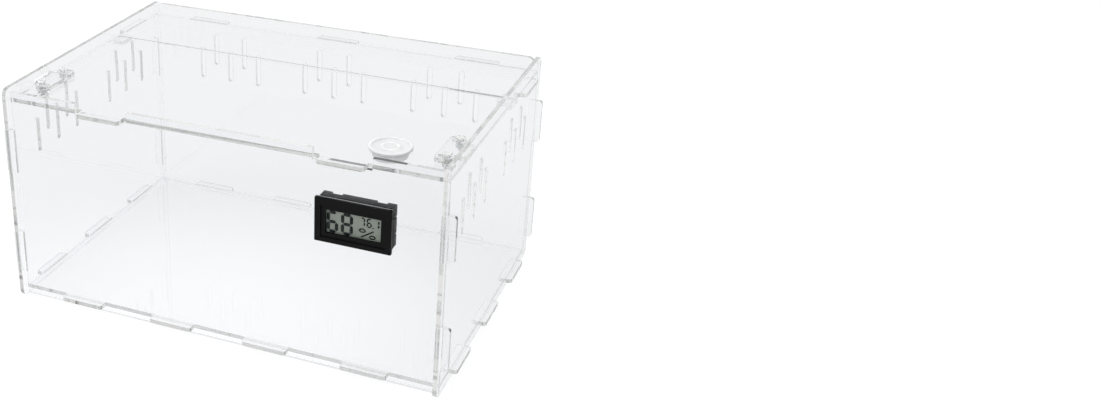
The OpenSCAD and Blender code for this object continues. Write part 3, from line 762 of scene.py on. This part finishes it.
# Plug of the feeding port: soft milky polyethylene, moulded in one piece, with a raised rim and
# ring on its flange and a hollow ribbed barrel that grips the port.
PLUG_FOOT = (101.2 * mm, -66.7 * mm, 142 * mm)
FLANGE_PROFILE = [(0, 0.8), (4.4, 0.8), (4.4, 1.3), (5.6, 1.3), (5.6, 0.8), (11.5, 0.8),
                  (11.5, 1.7), (12.6, 1.7), (12.85, 1.63), (13.03, 1.45), (13.1, 1.2),
                  (13.1, 0.03), (10.5, 0.03)]
RIB_TOPS = (-0.6, -2.6, -4.6)
RIB_PROFILE = ((10.5, 0), (10.78, 0.15), (10.78, 0.65), (10.5, 0.8))
BARREL_END = [(10.5, -6.6), (10.2, -6.98), (9.3, -6.98), (9.3, 0.0), (0, 0.0)]
PLUG_STEPS, PLUG_SOFTNESS, PLUG_SHARP = 96, 0.1 * mm, 60
PLUG_LIGHT = (0.7, 0.7, 0.7, 1)

ribs = [(radius, top - drop) for top in RIB_TOPS for radius, drop in RIB_PROFILE]
shape = bmesh.new()
turned(shape, FLANGE_PROFILE + ribs + BARREL_END, PLUG_FOOT, (0, 0, 1), (1, 0, 0), PLUG_STEPS)
soften(shape, PLUG_SOFTNESS, PLUG_SHARP)

finish, flow, place = new_finish("milky_polyethylene")
cloud = flow.noise(place, scale=160, detail=4, roughness=0.6)
grain = flow.noise(place, scale=3000, detail=3)
scuffs = flow.noise(flow.stretched(place, (1, 0.1, 1)), scale=600, detail=3, roughness=0.7)
put_out_lit(flow, flow.skin(
    flow.mix(cloud, (0.86, 0.868, 0.868, 1), (0.90, 0.905, 0.905, 1)),
    0.42 + grain * 0.1 + scuffs * 0.08, {
        "IOR": 1.5, "Specular IOR Level": 0.25, "Subsurface Weight": 1.0,
        "Subsurface Radius": (1.0, 1.0, 0.95), "Subsurface Scale": 6 * mm,
        "Normal": flow.relief(0.15, 0.04 * mm, grain + scuffs)}), PLUG_LIGHT)
new_piece("milky_port_plug", shape, finish, "port_plug", "soft_white_plastic", "port_plug")


# Studio: a white table that keeps the shadow, a white room and two large soft lamps, from above
# and from the front left. Table and room look a little greyer through clear sheet, but brighter
# in a painted pool of light on the table in front, and darker in its inner reflections where
# they show what is round the camera, at its foot or overhead.
STRAIGHT_TONE = (1.08, 1.08, 1.08, 1)
THROUGH_TONE = (0.93, 0.93, 0.93, 1)
PAINTED_POOL_TONE = (1.14, 1.14, 1.14, 1)
MIRRORED_TONE = (0.9, 0.9, 0.9, 1)
DARK_TONE = (0.5, 0.5, 0.5, 1)
ROOM_LIGHT = (0.45, 0.45, 0.45, 1)
TABLE_REACH, TABLE_WHITE, TABLE_GLOW = 8, (0.85, 0.85, 0.85, 1), 0.8
# Middle of a round patch on the table, and how far from it the patch begins and is full, in m
# The front patch is a painted pool of light, where the table seen through sheet is brighter.
PAINTED_POOL_PATCH = ((-0.02, -0.1, 0), 0.26, 0.04)
CAMERA_PATCH = ((0.336, -0.732, 0), 0.58, 0.42)
TO_CAMERA, DARK_FROM, DARK_FULL, CEILING_SHARE = (0.38, -0.83, 0.41), 0.6, 0.8, 0.35


def backdrop(flow, front, dark):
    """1 for rays that show table and room, straight, mirrored or through sheet, and its tone."""
    straight, mirrored, through = [
        flow.ray("Is " + kind + " Ray") for kind in ("Camera", "Glossy", "Transmission")]
    tone = flow.mix(mirrored, ROOM_LIGHT, MIRRORED_TONE)
    # Round the front patch, rays through sheet see the painted pool of light.
    tone = flow.mix(through, tone, flow.mix(front, THROUGH_TONE, PAINTED_POOL_TONE))
    folded = flow.ray("Glossy Depth") > 0.5
    tone = flow.mix(straight, flow.mix(folded * dark, tone, DARK_TONE), STRAIGHT_TONE)
    return flow.maths("MAXIMUM", straight, flow.maths("MAXIMUM", mirrored, through)), tone


def smooth_rise(flow, value, start, end):
    return flow.rise(value, start, end, "SMOOTHSTEP")


table = bpy.data.objects.new("table", bpy.data.meshes.new("table"))
bpy.context.collection.objects.link(table)
shape = bmesh.new()
bmesh.ops.create_grid(shape, x_segments=2, y_segments=2, size=TABLE_REACH)
shape.to_mesh(table.data)
shape.free()
table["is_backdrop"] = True
finish, flow, place = new_finish("white_table")
# front is the painted pool of light; near_camera the darker ground round the camera's foot.
front, near_camera = [
    smooth_rise(flow, flow.measure("DISTANCE", place, middle), begins, full)
    for middle, begins, full in (PAINTED_POOL_PATCH, CAMERA_PATCH)]
seen, tone = backdrop(flow, front, near_camera)
paint = flow.node("BsdfDiffuse", {}, {"Color": TABLE_WHITE})
glow = flow.node("Emission", {}, {"Color": tone, "Strength": 1.0})
put_out(flow, flow.node("MixShader", {}, {0: seen * TABLE_GLOW, 1: paint, 2: glow}))
table.data.materials.append(finish)

world = bpy.data.worlds.new("studio")
bpy.context.scene.world = world
world.use_nodes = True
world.node_tree.nodes.clear()
flow = Flow(world.node_tree)
heading = flow.node("TexCoord", {}, {}, "Generated")
camera_side = flow.measure("DOT_PRODUCT", heading, TO_CAMERA)
ceiling = smooth_rise(flow, flow.apart(heading)[2], DARK_FROM, DARK_FULL) * CEILING_SHARE
dark = flow.maths("MAXIMUM", smooth_rise(flow, camera_side, DARK_FROM, DARK_FULL), ceiling)
seen, tone = backdrop(flow, 0.0, dark)
flow.node("OutputWorld", {}, {
    "Surface": flow.node("Background", {}, {"Color": tone, "Strength": 1.0})})


def soft_lamp(name, place, aim, size, watts):
    lamp = bpy.data.lights.new(name, "AREA")
    lamp.shape, lamp.size, lamp.energy = "SQUARE", size, watts
    holder = bpy.data.objects.new(name, lamp)
    bpy.context.collection.objects.link(holder)
    holder.location = place
    toward = Vector(aim) - Vector(place)
    holder.rotation_euler = toward.to_track_quat("-Z", "Y").to_euler()
    holder.visible_glossy = holder.visible_transmission = False


soft_lamp("overhead_box", place=(0.0, 0.1, 1.3), aim=(0, 0, 0), size=2.0, watts=14.5)
soft_lamp("front_box", place=(-1.3, -1.2, 1.2), aim=(0, 0, 0.07), size=2.2, watts=26)


# Camera at the photograph's angle, framed on the left one of its two views. Its angles are in
# radians and its place in metres. Lengths on the picture are in the picture's pixels.
HEADING, TILT, ROLL = 0.428141, -0.432248, -0.0019355
CAMERA_PLACE = (0.3360376, -0.7318060, 0.4578217)
PICTURE_WIDE, PICTURE_HIGH = 1100, 401
FOCAL_LENGTH, AXIS_X, AXIS_Y = 1326.1733, 283.1425, 160.7988
SENSOR_WIDE = 36

ahead = Vector((-math.sin(HEADING) * math.cos(TILT), math.cos(HEADING) * math.cos(TILT),
                math.sin(TILT)))
right = ahead.cross(Vector((0, 0, 1))).normalized()
above = right.cross(ahead)
rolled_right = right * math.cos(ROLL) + above * math.sin(ROLL)
rolled_above = above * math.cos(ROLL) - right * math.sin(ROLL)
lens = bpy.data.cameras.new("camera")
lens.sensor_width = SENSOR_WIDE
lens.lens = FOCAL_LENGTH * SENSOR_WIDE / PICTURE_WIDE
lens.shift_x = (PICTURE_WIDE / 2 - AXIS_X) / PICTURE_WIDE
lens.shift_y = (AXIS_Y - PICTURE_HIGH / 2) / PICTURE_WIDE
lens.clip_start = 0.01
camera = bpy.data.objects.new("camera", lens)
bpy.context.collection.objects.link(camera)
camera.matrix_world = Matrix.Translation(CAMERA_PLACE) @ Matrix(
    (rolled_right, rolled_above, -ahead)).transposed().to_4x4()
bpy.context.scene.camera = camera
bpy.context.scene.view_settings.view_transform = "Standard"
cycles = bpy.context.scene.cycles
cycles.max_bounces, cycles.transmission_bounces, cycles.glossy_bounces = 256, 128, 224

low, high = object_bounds()
